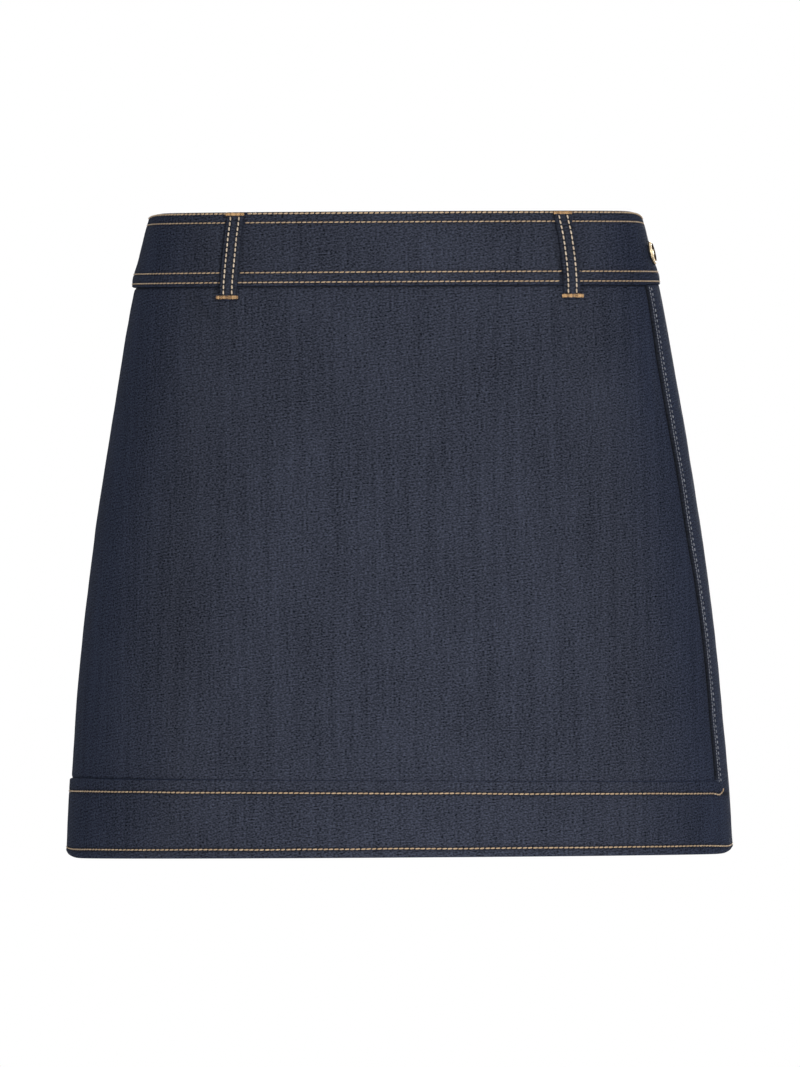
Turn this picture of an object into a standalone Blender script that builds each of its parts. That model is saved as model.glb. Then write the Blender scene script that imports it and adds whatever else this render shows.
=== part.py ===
"""Denim skort: an A-line mini skirt, filled out as if worn, over plain inner shorts.

Metres, +Z up. The front faces -Y and the wearer's left is +X. The origin is the middle of the
waist, halfway up the waistband, where the wearer holds the skort up.

Three words place every point on the body:
  drop   how far down it is from the waistband's top edge
  along  how far round it is at that drop: 0 at the wearer's left side, positive round the
         front and negative round the back
  out    how far it stands off the panels' outer face
"""

import math
from collections import namedtuple
from functools import lru_cache

import bmesh
import bpy
import numpy as np
from mathutils import Matrix, Vector

# Heights, as drops from the waistband's top edge
LENGTH = 0.384
WAISTBAND_HEIGHT = 0.044
HEM_BAND_HEIGHT = 0.046
SHORTS_CROTCH = 0.255
SHORTS_LENGTH = 0.345
HEM_SEAM = LENGTH - HEM_BAND_HEIGHT

# Cloth: how thick each wall is, and how far its outer face stands off the panels'
PANEL_THICK = 0.0012
BAND_THICK = 0.0022
BAND_OUT = 0.0010
WAISTBAND_THICK = 0.0035
WAISTBAND_OUT = 0.0010
LOOP_THICK = 0.0022
SHORTS_THICK = 0.0010
GAP = 0.0003

# The skirt's outer face: half of a rounded rectangle in front and another behind
Section = namedtuple("Section", "drop half_width front_depth back_depth squareness")
SECTIONS = (
    Section(drop=0.000, half_width=0.1450, front_depth=0.089, back_depth=0.094, squareness=2.25),
    Section(drop=0.044, half_width=0.1554, front_depth=0.096, back_depth=0.106, squareness=2.22),
    Section(drop=0.110, half_width=0.1671, front_depth=0.104, back_depth=0.120, squareness=2.18),
    Section(drop=0.190, half_width=0.1799, front_depth=0.112, back_depth=0.130, squareness=2.14),
    Section(drop=0.280, half_width=0.1905, front_depth=0.120, back_depth=0.134, squareness=2.10),
    Section(drop=0.384, half_width=0.1965, front_depth=0.127, back_depth=0.137, squareness=2.08),
)
RING_SAMPLES = 900

# At the two sides the waist edge dips and the hem edge lifts
TOP_DIP = 0.0040
TOP_REACH = 0.014
HEM_LIFT = 0.0048
HEM_REACH = 0.0115
EDGE_SPREAD = 0.0138

# The closing at the wearer's left side: the front's edge laps over the back
LAP_EDGE = -0.011
LAP_SEAM = 0.035
UNDERLAP_END = 0.027
TUCK_START = -0.055
TUCK_FULL = -0.016
TUCK_OVER = 0.030
TUCK_END = 0.075
TUCK_AT_WAIST = WAISTBAND_THICK + GAP
TUCK_AT_HEM = 0.0026

# How finely the pieces are divided
FRONT_COLUMNS = 26
BACK_COLUMNS = 26
PANEL_ROWS = 7
TUCK_ALONGS = (-0.045, -0.035, -0.025, TUCK_FULL)
LAP_ALONGS = (LAP_EDGE, -0.003, 0.005, 0.0125, 0.020)
WAISTBAND_DROPS = (0.0, 0.008, 0.022, WAISTBAND_HEIGHT)
HEM_BAND_HEIGHTS = (0.024, 0.010, 0.0)

# Belt loops: where each one crosses the waistband's top edge and where it ends, from the middle
Loop = namedtuple("Loop", "name front x_top x_end")
LOOPS = (
    Loop(name="belt_loop_front_right", front=True, x_top=-0.0938, x_end=-0.0996),
    Loop(name="belt_loop_front_left", front=True, x_top=0.0972, x_end=0.1034),
    Loop(name="belt_loop_back_right", front=False, x_top=-0.0960, x_end=-0.1020),
    Loop(name="belt_loop_back_centre", front=False, x_top=0.0, x_end=0.0),
    Loop(name="belt_loop_back_left", front=False, x_top=0.0960, x_end=0.1020),
)
LOOP_WIDTH = 0.011
LOOP_COLUMNS = 3
# How far the loop's inner face stands off the panels: on the waistband, over the belt's way,
# then down its lower edge to the panel
LoopRow = namedtuple("LoopRow", "drop out")
LOOP_ROWS = (
    LoopRow(drop=0.0000, out=WAISTBAND_OUT + GAP),
    LoopRow(drop=0.0060, out=WAISTBAND_OUT + GAP),
    LoopRow(drop=0.0130, out=WAISTBAND_OUT + 0.0013),
    LoopRow(drop=0.0330, out=WAISTBAND_OUT + 0.0013),
    LoopRow(drop=0.0435, out=WAISTBAND_OUT + 0.0006),
    LoopRow(drop=0.0480, out=GAP),
    LoopRow(drop=0.0525, out=GAP),
)

# The button, through a buttonhole in the front end and a small hole in the back end
BUTTON_ALONG = 0.0125
BUTTON_DROP = 0.0250
BUTTON_STEPS = 24
SHANK_RADIUS = 0.0016
SHANK_HOLE_RADIUS = 0.0019
BUTTONHOLE_ALONGS = (0.0010, 0.005, 0.0125, 0.0150)
BUTTONHOLE_HALF_HEIGHT = 0.0021
METAL_GAP = 0.0005
# From the axis out and back: the cap's underside, round its rim and over its dished face
CapPoint = namedtuple("CapPoint", "radius height")
CAP_OUTLINE = (
    CapPoint(radius=SHANK_RADIUS, height=METAL_GAP),
    CapPoint(radius=0.0064, height=METAL_GAP),
    CapPoint(radius=0.0071, height=0.0007),
    CapPoint(radius=0.0073, height=0.0013),
    CapPoint(radius=0.0070, height=0.0020),
    CapPoint(radius=0.0063, height=0.0023),
    CapPoint(radius=0.0056, height=0.0021),
    CapPoint(radius=0.0051, height=0.0015),
    CapPoint(radius=0.0022, height=0.0015),
    CapPoint(radius=0.0015, height=0.0019),
    CapPoint(radius=0.0, height=0.0020),
)
RIVET_RADIUS = 0.0045
RIVET_THICK = 0.0008
SHARP_EDGE = math.radians(35)
SHANK_HOLE_STEPS = 16
CUTTER_PAST = 0.002

# Inner shorts: how far their outer face hangs inside the skirt's, and the way round the crotch.
# Across a piece, its first share follows the skirt and the rest turns in towards the middle.
ShortsRow = namedtuple("ShortsRow", "drop inside")
SHORTS_ROWS = (
    ShortsRow(drop=WAISTBAND_HEIGHT + GAP, inside=0.0019),
    ShortsRow(drop=0.080, inside=0.0023),
    ShortsRow(drop=0.120, inside=0.0026),
    ShortsRow(drop=0.155, inside=0.0029),
    ShortsRow(drop=0.182, inside=0.0033),
    ShortsRow(drop=0.203, inside=0.0039),
    ShortsRow(drop=0.220, inside=0.0046),
    ShortsRow(drop=0.233, inside=0.0052),
    ShortsRow(drop=0.244, inside=0.0057),
    ShortsRow(drop=SHORTS_CROTCH, inside=0.0062),
    ShortsRow(drop=0.285, inside=0.0085),
    ShortsRow(drop=0.315, inside=0.0105),
    ShortsRow(drop=SHORTS_LENGTH, inside=0.0125),
)
SHORTS_COLUMNS = 14
CROTCH_START = 0.140
CROTCH_CURVE = 2.5
CROTCH_Y = 0.012
LEG_MIDDLE = 0.086
LEG_APART_AT_HEM = 0.009
TURN_SHARE = 0.5

# How far apart a face's slope is read, on the waistband and across the shorts
SEAT_STEP = 0.001
SHORTS_STEP = 0.004
MERGE_WITHIN = 0.00001

# Finishes, as linear colours
DENIM = (0.034, 0.041, 0.058)
SHORTS_NAVY = (0.020, 0.024, 0.038)
BRASS = (0.62, 0.41, 0.17)

TOP_Z = WAISTBAND_HEIGHT / 2


def blend(start, end, share):
    return start + (end - start) * share


def ease(value, start, end):
    """0 before start, 1 after end, and a smooth turn between them."""
    share = min(max((value - start) / (end - start), 0.0), 1.0)
    return share * share * (3 - 2 * share)


def section(drop):
    """The skirt's section at a drop, on smooth curves through the rows of SECTIONS."""
    drops = [row.drop for row in SECTIONS]
    after = min(max(int(np.searchsorted(drops, drop)), 1), len(drops) - 1)
    span = drops[after] - drops[after - 1]
    t = (drop - drops[after - 1]) / span
    sizes = []
    for column in zip(*SECTIONS):
        slopes = np.gradient(column, drops)
        sizes.append(
            (2 * t**3 - 3 * t**2 + 1) * column[after - 1]
            + (t**3 - 2 * t**2 + t) * span * slopes[after - 1]
            + (3 * t**2 - 2 * t**3) * column[after]
            + (t**3 - t**2) * span * slopes[after]
        )
    return Section(*sizes)


class Ring:
    """The skirt's outer face at one drop, as a closed curve that is measured along its length."""

    def __init__(self, drop):
        self.cut = section(drop)
        turn = np.linspace(-math.pi, math.pi, 2 * RING_SAMPLES + 1)
        power = 2 / self.cut.squareness
        depth = np.where(turn > 0, self.cut.front_depth, self.cut.back_depth)
        self.x = self.cut.half_width * np.sign(np.cos(turn)) * np.abs(np.cos(turn)) ** power
        self.y = -depth * np.sign(np.sin(turn)) * np.abs(np.sin(turn)) ** power
        lengths = np.hypot(np.diff(self.x), np.diff(self.y))
        self.along = np.concatenate(([0.0], np.cumsum(lengths)))
        self.along -= self.along[RING_SAMPLES]
        self.front = float(self.along[-1])
        self.back = float(-self.along[0])

    def point(self, along, out):
        x = float(np.interp(along, self.along, self.x))
        y = float(np.interp(along, self.along, self.y))
        depth = self.cut.front_depth if y < 0 else self.cut.back_depth
        power = self.cut.squareness - 1
        normal = Vector((
            math.copysign(abs(x / self.cut.half_width) ** power / self.cut.half_width, x),
            math.copysign(abs(y / depth) ** power / depth, y),
        )).normalized()
        return x + out * normal.x, y + out * normal.y

    def along_at(self, x, front):
        """Where the front or the back crosses a distance from the middle."""
        if front:
            return float(np.interp(-x, -self.x[RING_SAMPLES:], self.along[RING_SAMPLES:]))
        return float(np.interp(x, self.x[:RING_SAMPLES + 1], self.along[:RING_SAMPLES + 1]))


@lru_cache(maxsize=None)
def ring_at(drop):
    return Ring(drop)


def edge_shift(along, drop):
    """How far up the waist edge and the hem edge move near the two sides."""
    ring = ring_at(drop)
    from_side = min(abs(along), ring.front - along, ring.back + along)
    near_side = math.exp(-((from_side / EDGE_SPREAD) ** 2) / 2)
    near_top = max(0.0, 1 - drop / TOP_REACH)
    near_hem = max(0.0, 1 - (LENGTH - drop) / HEM_REACH)
    return near_side * (HEM_LIFT * near_hem**2 - TOP_DIP * near_top**2)


def spot(along, drop, out):
    """The point at along and drop that stands out from the panels' outer face."""
    x, y = ring_at(drop).point(along, out)
    return Vector((x, y, TOP_Z - drop + edge_shift(along, drop)))


def tuck(along, drop):
    """How far the back, and the shorts with it, go in under the front's lap."""
    deep = blend(TUCK_AT_WAIST, TUCK_AT_HEM, drop / LENGTH)
    return deep * (ease(along, TUCK_START, TUCK_FULL) - ease(along, TUCK_OVER, TUCK_END))


def spread(start, end, count):
    """count + 1 values from start to end, closer together near both ends."""
    shares = np.linspace(0, 1, count + 1)
    shares = (shares + (1 - np.cos(math.pi * shares)) / 2) / 2
    return [float(value) for value in blend(start, end, shares)]


def front_alongs(drop, start):
    """From start, near the wearer's left, across the front to the right side."""
    return spread(start, ring_at(drop).front - GAP / 2, FRONT_COLUMNS)


def back_alongs(drop):
    """From the right side across the back, and on under the front's lap."""
    whole = spread(-ring_at(drop).back + GAP / 2, TUCK_START, BACK_COLUMNS)
    return whole + list(TUCK_ALONGS) + list(LAP_ALONGS) + [UNDERLAP_END]


def lap_alongs():
    """Across the lap from its free edge, short of the border's seam."""
    return list(LAP_ALONGS) + [UNDERLAP_END]


def drops_between(start, end, count):
    return [float(drop) for drop in np.linspace(start, end, count + 1)]


def finish(name, colour, roughness, metallic=0.0):
    material = bpy.data.materials.new(name)
    material.use_nodes = True
    shader = material.node_tree.nodes["Principled BSDF"]
    shader.inputs["Base Color"].default_value = (*colour, 1.0)
    shader.inputs["Roughness"].default_value = roughness
    shader.inputs["Metallic"].default_value = metallic
    return material


def add_object(name, mesh, material):
    data = bpy.data.meshes.new(name)
    mesh.to_mesh(data)
    mesh.free()
    if material:
        data.materials.append(material)
    piece = bpy.data.objects.new(name, data)
    bpy.context.scene.collection.objects.link(piece)
    return piece


def wall(name, columns, rows, place, material, leave_out=None):
    """A closed wall of cloth with columns by rows of faces on its outer face and its inner face.

    place(column, row, inner) gives a corner's point. leave_out(column, row) is true for a face
    that the piece doesn't have.
    """
    mesh = bmesh.new()
    bmesh.ops.create_grid(mesh, x_segments=columns, y_segments=rows, size=0.5)

    def grid_place(co):
        return (co.x + 0.5) * columns, (co.y + 0.5) * rows

    if leave_out:
        spare = []
        for face in mesh.faces:
            column, row = grid_place(face.calc_center_median())
            if leave_out(int(column), int(row)):
                spare.append(face)
        bmesh.ops.delete(mesh, geom=spare, context="FACES")
    grown = bmesh.ops.extrude_face_region(mesh, geom=list(mesh.faces))
    inner = {part for part in grown["geom"] if isinstance(part, bmesh.types.BMVert)}
    for corner in mesh.verts:
        column, row = grid_place(corner.co)
        corner.co = place(round(column), round(row), corner in inner)
    bmesh.ops.recalc_face_normals(mesh, faces=mesh.faces)
    return add_object(name, mesh, material)


def body_wall(name, alongs_at, drops, out, thick, material, tucked_from=None, leave_out=None):
    """A wall on the skirt's form. alongs_at(drop) gives its columns' places.

    The columns from tucked_from on go in under the front's lap.
    """
    alongs = [alongs_at(drop) for drop in drops]

    def place(column, row, inner):
        along = alongs[row][column]
        drop = drops[row]
        inward = thick if inner else 0.0
        if tucked_from is not None and column >= tucked_from:
            inward += tuck(along, drop)
        return spot(along, drop, out - inward)

    return wall(name, len(alongs[0]) - 1, len(drops) - 1, place, material, leave_out)


def add_panels(denim):
    panel_drops = drops_between(WAISTBAND_HEIGHT + GAP, HEM_SEAM - GAP, PANEL_ROWS)
    body_wall(
        "front_panel", lambda drop: front_alongs(drop, LAP_SEAM + GAP),
        panel_drops, 0.0, PANEL_THICK, denim,
    )
    body_wall(
        "back_panel", back_alongs, panel_drops, 0.0, PANEL_THICK, denim, tucked_from=0,
    )


def add_borders(denim):
    """The front's L-shaped border, cut in one, and the back's hem band."""
    band_drops = [LENGTH - height for height in HEM_BAND_HEIGHTS]
    upright_drops = drops_between(WAISTBAND_HEIGHT + GAP, HEM_SEAM, PANEL_ROWS)
    upright_columns = len(LAP_ALONGS) + 1
    body_wall(
        "border_band", lambda drop: lap_alongs() + front_alongs(drop, LAP_SEAM),
        upright_drops + band_drops, BAND_OUT, BAND_THICK, denim,
        leave_out=lambda column, row: column >= upright_columns and row < PANEL_ROWS,
    )
    body_wall(
        "back_hem_band", back_alongs, [HEM_SEAM] + band_drops,
        BAND_OUT, BAND_THICK, denim, tucked_from=0,
    )


def add_waistband(denim):
    """One strip from its front end round to its back end, which lies under the front end."""

    def alongs_at(drop):
        front = front_alongs(drop, LAP_SEAM)[:-1] + [ring_at(drop).front]
        return lap_alongs() + front + back_alongs(drop)[1:]

    return body_wall(
        "waistband", alongs_at, WAISTBAND_DROPS, WAISTBAND_OUT, WAISTBAND_THICK, denim,
        tucked_from=len(LAP_ALONGS) + 1 + FRONT_COLUMNS,
    )


def add_belt_loops(denim):
    end = LOOP_ROWS[-1].drop
    for loop in LOOPS:
        def alongs_at(drop, loop=loop):
            x = blend(loop.x_top, loop.x_end, drop / end)
            middle = ring_at(drop).along_at(x, loop.front)
            return [
                middle + LOOP_WIDTH * (column / LOOP_COLUMNS - 0.5)
                for column in range(LOOP_COLUMNS + 1)
            ]

        alongs = [alongs_at(row.drop) for row in LOOP_ROWS]

        def place(column, row, inner, alongs=alongs):
            out = LOOP_ROWS[row].out + (0.0 if inner else LOOP_THICK)
            return spot(alongs[row][column], LOOP_ROWS[row].drop, out)

        wall(loop.name, LOOP_COLUMNS, len(LOOP_ROWS) - 1, place, denim)


def button_seat():
    """The button's place: its origin on the waistband's outer face, and +Z straight out of it."""
    centre = spot(BUTTON_ALONG, BUTTON_DROP, WAISTBAND_OUT)
    across = spot(BUTTON_ALONG + SEAT_STEP, BUTTON_DROP, WAISTBAND_OUT) - centre
    down = spot(BUTTON_ALONG, BUTTON_DROP + SEAT_STEP, WAISTBAND_OUT) - centre
    outward = across.cross(down).normalized()
    if outward.x < 0:
        outward.negate()
    turned = Vector((0, 0, 1)).rotation_difference(outward)
    return Matrix.Translation(centre) @ turned.to_matrix().to_4x4(), outward


def cutter(piece):
    piece.hide_render = True
    piece.display_type = "WIRE"
    return piece


def cut(piece, tool):
    hole = piece.modifiers.new(tool.name, "BOOLEAN")
    hole.operation = "DIFFERENCE"
    hole.solver = "EXACT"
    hole.object = tool


def add_button(waistband, brass):
    """The button and the two holes that it passes through."""
    seat, outward = button_seat()
    squarely = math.hypot(outward.x, outward.y)
    cloth_deep = (2 * WAISTBAND_THICK + GAP) * squarely
    rivet_top = -cloth_deep - METAL_GAP
    outline = [
        CapPoint(radius=0.0, height=rivet_top - RIVET_THICK),
        CapPoint(radius=RIVET_RADIUS, height=rivet_top - RIVET_THICK),
        CapPoint(radius=RIVET_RADIUS, height=rivet_top),
        CapPoint(radius=SHANK_RADIUS, height=rivet_top),
        *CAP_OUTLINE,
    ]
    mesh = bmesh.new()
    profile = [mesh.verts.new((point.radius, 0.0, point.height)) for point in outline]
    edges = [mesh.edges.new(pair) for pair in zip(profile, profile[1:])]
    bmesh.ops.spin(
        mesh, geom=profile + edges, axis=(0, 0, 1), cent=(0, 0, 0),
        angle=2 * math.pi, steps=BUTTON_STEPS, use_merge=True,
    )
    bmesh.ops.remove_doubles(mesh, verts=mesh.verts, dist=MERGE_WITHIN)
    bmesh.ops.recalc_face_normals(mesh, faces=mesh.faces)
    button = add_object("button", mesh, brass)
    button.matrix_world = seat
    button.data.shade_smooth()
    button.data.set_sharp_from_angle(angle=SHARP_EDGE)

    slot_drops = (BUTTON_DROP - BUTTONHOLE_HALF_HEIGHT, BUTTON_DROP + BUTTONHOLE_HALF_HEIGHT)

    def slot_place(column, row, inner):
        out = WAISTBAND_OUT + CUTTER_PAST
        if inner:
            out = WAISTBAND_OUT - WAISTBAND_THICK - GAP / 2
        return spot(BUTTONHOLE_ALONGS[column], slot_drops[row], out)

    buttonhole = cutter(wall("buttonhole_cutter", len(BUTTONHOLE_ALONGS) - 1, 1, slot_place, None))

    mesh = bmesh.new()
    bmesh.ops.create_cone(
        mesh, cap_ends=True, segments=SHANK_HOLE_STEPS,
        radius1=SHANK_HOLE_RADIUS, radius2=SHANK_HOLE_RADIUS,
        depth=2 * (cloth_deep + CUTTER_PAST),
    )
    shank_hole = cutter(add_object("shank_hole_cutter", mesh, None))
    shank_hole.matrix_world = seat
    cut(waistband, buttonhole)
    cut(waistband, shank_hole)


def shorts_point(share, drop, front, lapped):
    """A point on a left leg's outer face, from its side seam (0) to its inner seam (1).

    Above the crotch the inner seam is the centre seam. Down the crotch curve the cloth near it
    turns back between the legs, until each leg closes to a tube.
    """
    ring = ring_at(drop)
    inside = float(np.interp(drop, *zip(*SHORTS_ROWS)))
    forward = 1 if front else -1
    below = max(0.0, (drop - SHORTS_CROTCH) / (SHORTS_LENGTH - SHORTS_CROTCH))
    inner_x = GAP / 2 + LEG_APART_AT_HEM * below
    turn = max(0.0, share - TURN_SHARE) / (1 - TURN_SHARE) * math.pi / 2
    x_on_ring = blend(LEG_MIDDLE, inner_x, math.sin(turn))
    along = ring.along_at(x_on_ring, front)
    if share < TURN_SHARE:
        along = blend(forward * GAP / 2, along, share / TURN_SHARE)
    under_lap = tuck(along, drop) if lapped else 0.0
    x, y = ring.point(along, -inside - under_lap)
    if share > TURN_SHARE:
        x = x_on_ring
    fall = min(max((drop - CROTCH_START) / (SHORTS_CROTCH - CROTCH_START), 0.0), 1.0)
    closed = fall**CROTCH_CURVE
    inner_y = CROTCH_Y - forward * GAP / 2
    y = blend(y, blend(inner_y, y, math.cos(turn)), closed)
    return Vector((x, y, TOP_Z - drop))


def shorts_normal(share, drop, front, lapped):
    """Straight out of the shorts' face, away from the inside of the leg."""
    first = shorts_point(max(share - SHORTS_STEP, 0.0), drop, front, lapped)
    last = shorts_point(min(share + SHORTS_STEP, 1.0), drop, front, lapped)
    upper = shorts_point(share, drop - SHORTS_STEP, front, lapped)
    lower = shorts_point(share, drop + SHORTS_STEP, front, lapped)
    normal = (last - first).cross(lower - upper).normalized()
    middle = Vector((LEG_MIDDLE, CROTCH_Y, first.z))
    if normal.dot(first - middle) < 0:
        normal.negate()
    return normal


def add_shorts(cloth):
    """Four pieces that meet at the side seams, the centre seams and the legs' inner seams."""
    for side, lapped, mirror in (("left", True, 1), ("right", False, -1)):
        for face, front in (("front", True), ("back", False)):

            def place(column, row, inner, front=front, lapped=lapped, mirror=mirror):
                share = column / SHORTS_COLUMNS
                drop = SHORTS_ROWS[row].drop
                point = shorts_point(share, drop, front, lapped)
                if inner:
                    point -= SHORTS_THICK * shorts_normal(share, drop, front, lapped)
                return Vector((mirror * point.x, point.y, point.z))

            wall(f"shorts_{face}_{side}", SHORTS_COLUMNS, len(SHORTS_ROWS) - 1, place, cloth)


def main():
    for old in list(bpy.data.objects):
        bpy.data.objects.remove(old, do_unlink=True)
    denim = finish("dark denim", DENIM, 0.85)
    brass = finish("brushed gold metal", BRASS, 0.32, metallic=1.0)
    navy = finish("navy cotton", SHORTS_NAVY, 0.9)
    add_panels(denim)
    add_borders(denim)
    waistband = add_waistband(denim)
    add_belt_loops(denim)
    add_button(waistband, brass)
    add_shorts(navy)


main()
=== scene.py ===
"""Denim skort: its cloth, stitching and button in fine detail, in a pale studio.

Metres, +Z up. The front faces -Y and the wearer's left is +X. Three words place every point:
  drop   how far down it is from the waistband's top edge
  along  how far round it is at that drop: 0 at the wearer's left side, positive round the
         front and negative round the back
  out    how far it stands off the panels' outer face
"""

import math
import random
from collections import namedtuple
from functools import lru_cache, partial, reduce

import bmesh
import bpy
import numpy as np
from mathutils import Matrix, Vector, noise


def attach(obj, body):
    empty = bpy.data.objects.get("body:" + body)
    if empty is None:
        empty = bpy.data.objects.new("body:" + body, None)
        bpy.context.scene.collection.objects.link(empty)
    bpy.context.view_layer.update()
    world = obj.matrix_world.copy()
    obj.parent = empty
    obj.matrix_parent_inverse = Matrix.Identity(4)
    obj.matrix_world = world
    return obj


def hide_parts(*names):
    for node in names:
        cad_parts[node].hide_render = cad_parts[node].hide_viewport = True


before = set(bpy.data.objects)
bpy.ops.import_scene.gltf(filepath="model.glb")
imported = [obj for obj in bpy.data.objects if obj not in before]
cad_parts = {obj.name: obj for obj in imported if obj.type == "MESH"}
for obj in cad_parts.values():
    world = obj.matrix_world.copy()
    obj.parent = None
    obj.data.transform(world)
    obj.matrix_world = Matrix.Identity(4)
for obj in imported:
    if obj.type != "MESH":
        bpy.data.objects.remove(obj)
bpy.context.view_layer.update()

# Heights, as drops from the waistband's top edge
LENGTH = 0.384
WAISTBAND_HEIGHT = 0.044
HEM_SEAM = 0.338
TOP_Z = WAISTBAND_HEIGHT / 2

# Cloth: how thick each wall is, and how far its outer face stands off the panels'
PANEL_THICK = 0.0012
BAND_THICK = 0.0022
BAND_OUT = 0.0010
WAISTBAND_THICK = 0.0035
WAISTBAND_OUT = 0.0010
LOOP_THICK = 0.0022
SHORTS_THICK = 0.0010
SEAM_GAP = 0.0001

# How round the folded edges are
BAND_ROLL = 0.00105
BORDER_ROLL = 0.0032
HEM_SEAM_ROLL = 0.0009
WAISTBAND_ROLL = 0.0014
WAIST_SEAM_ROLL = 0.0012
LOOP_ROLL = 0.0010
SHORTS_ROLL = 0.00045

# The skirt's outer face: half of a rounded rectangle in front and another behind
Section = namedtuple("Section", "drop half_width front_depth back_depth squareness")
SECTIONS = (
    Section(0.000, 0.1450, 0.089, 0.094, 2.25),
    Section(0.044, 0.1554, 0.096, 0.106, 2.22),
    Section(0.110, 0.1671, 0.104, 0.120, 2.18),
    Section(0.190, 0.1799, 0.112, 0.130, 2.14),
    Section(0.280, 0.1905, 0.120, 0.134, 2.10),
    Section(0.384, 0.1965, 0.127, 0.137, 2.08),
)
RING_SAMPLES = 900

# At the two sides the waist edge dips and the hem edge lifts
TOP_DIP = 0.0040
TOP_REACH = 0.014
HEM_LIFT = 0.0048
HEM_REACH = 0.0115
EDGE_SPREAD = 0.0138

# The hem band's seam and the hem edge lie a little off level: how far up they are in the
# middle, and how much farther at the wearer's left side
HEM_SEAM_RISE = 0.0008
HEM_SEAM_SLOPE = -0.0018
HEM_RISE = 0.0013
HEM_SLOPE = 0.0003

# The seam at the wearer's right side
SIDE_SEAM_DEEP = 0.0008
SIDE_SEAM_WIDE = 0.0011

# The closing at the wearer's left side: the front's edge laps over the back
LAP_EDGE = -0.011
LAP_SEAM = 0.035
LAP_SWING = 0.0034
LAP_SHIFT = -0.0011
UNDERLAP_END = 0.027
TUCK_START = -0.055
TUCK_FULL = -0.016
TUCK_OVER = 0.030
TUCK_END = 0.075
TUCK_AT_WAIST = 0.0038
TUCK_AT_HEM = 0.0026

# Belt loops, by the distance from the middle at the waist edge and at the lower end
Loop = namedtuple("Loop", "name front x_top x_end bow")
LOOPS = (
    Loop("front_right", True, -0.0937, -0.0994, 0.0002),
    Loop("front_left", True, 0.0974, 0.1038, 0.0008),
    Loop("back_right", False, -0.0960, -0.1020, 0.0003),
    Loop("back_centre", False, 0.0, 0.0, -0.0002),
    Loop("back_left", False, 0.0960, 0.1020, 0.0005),
)
LOOP_WIDTH = 0.011
LOOP_LENGTH = 0.0525

# How a belt loop's inner face follows the waistband, stands off it and comes down to the panel
LoopRow = namedtuple("LoopRow", "drop out")
LOOP_ROWS = (
    LoopRow(0.0000, WAISTBAND_OUT + 0.0003),
    LoopRow(0.0060, WAISTBAND_OUT + 0.0003),
    LoopRow(0.0130, WAISTBAND_OUT + 0.0013),
    LoopRow(0.0330, WAISTBAND_OUT + 0.0013),
    LoopRow(0.0435, WAISTBAND_OUT + 0.0006),
    LoopRow(0.0480, 0.0003),
    LoopRow(LOOP_LENGTH, 0.0003),
)

# Topstitching: where its rows run, and how far from an edge a row starts or is hidden
WAISTBAND_ROWS = (0.0009, 0.0063, 0.0360, 0.0418)
HEM_ROWS = (HEM_SEAM + 0.0076, LENGTH - 0.0052)
BORDER_ROWS = (0.0331, 0.0306)
LOOP_ROW_APART = 0.0054
ROW_START = 0.0016
ROW_HIDDEN = 0.0006
STITCH = 0.0032
TONAL_STITCH = 0.0018
GROOVE_DEEP = 0.00028
GROOVE_WIDE = 0.0010
ROW_SHADE_WIDE = 0.0013

# The hook by which the front's upper hem row turns up on the border
HOOK_ALONG = 0.0262
HOOK_LONG = 0.0075
HOOK_HIGH = 0.0036

# How wide each row's thread lies on the cloth
EDGE_THREAD = 0.00120
WAISTBAND_THREAD = 0.00092
HEM_THREAD = 0.00104
LOOP_THREAD = 0.00112
FINE_TONAL_THREAD = 0.00064
LONG_TONAL_THREAD = 0.00108

# Bar tacks, one at each end of every belt loop
Tack = namedtuple("Tack", "drop length high wraps")
TACKS = (Tack(0.0012, 0.0120, 0.0019, 13), Tack(0.0505, 0.0142, 0.0023, 15))

# The button, and the hole in the lap that it comes through
BUTTON_ALONG = 0.0125
BUTTON_DROP = 0.0250
BUTTONHOLE_START = 0.0010
BUTTONHOLE_END = 0.0150
BUTTONHOLE_HALF_HEIGHT = 0.0008
SHANK_RADIUS = 0.0016
SHANK_CLEAR = 0.0012

# Inner shorts: how far inside the skirt's outer face they hang, and how their legs part
SHORTS_TOP = WAISTBAND_HEIGHT + 0.0003
SHORTS_CROTCH = 0.255
SHORTS_LENGTH = 0.345
ShortsRow = namedtuple("ShortsRow", "drop inside")
SHORTS_ROWS = (
    ShortsRow(SHORTS_TOP, 0.0026),
    ShortsRow(0.080, 0.0025),
    ShortsRow(0.120, 0.0026),
    ShortsRow(0.155, 0.0029),
    ShortsRow(0.182, 0.0033),
    ShortsRow(0.203, 0.0039),
    ShortsRow(0.220, 0.0046),
    ShortsRow(0.233, 0.0052),
    ShortsRow(0.244, 0.0057),
    ShortsRow(SHORTS_CROTCH, 0.0062),
    ShortsRow(0.285, 0.0085),
    ShortsRow(0.315, 0.0105),
    ShortsRow(SHORTS_LENGTH, 0.0125),
)
CROTCH_START = 0.140
CROTCH_CURVE = 2.5
CROTCH_Y = 0.012
LEG_MIDDLE = 0.086
LEG_APART_AT_HEM = 0.009
TURN_SHARE = 0.5

# The cloth's soft unevenness: broad waves where it hangs loose, and fine ones everywhere
WAVE_SIZE = 0.050
WAVE_DEEP = 0.00045
RIPPLE_SIZE = 0.014
RIPPLE_DEEP = 0.00016

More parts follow.
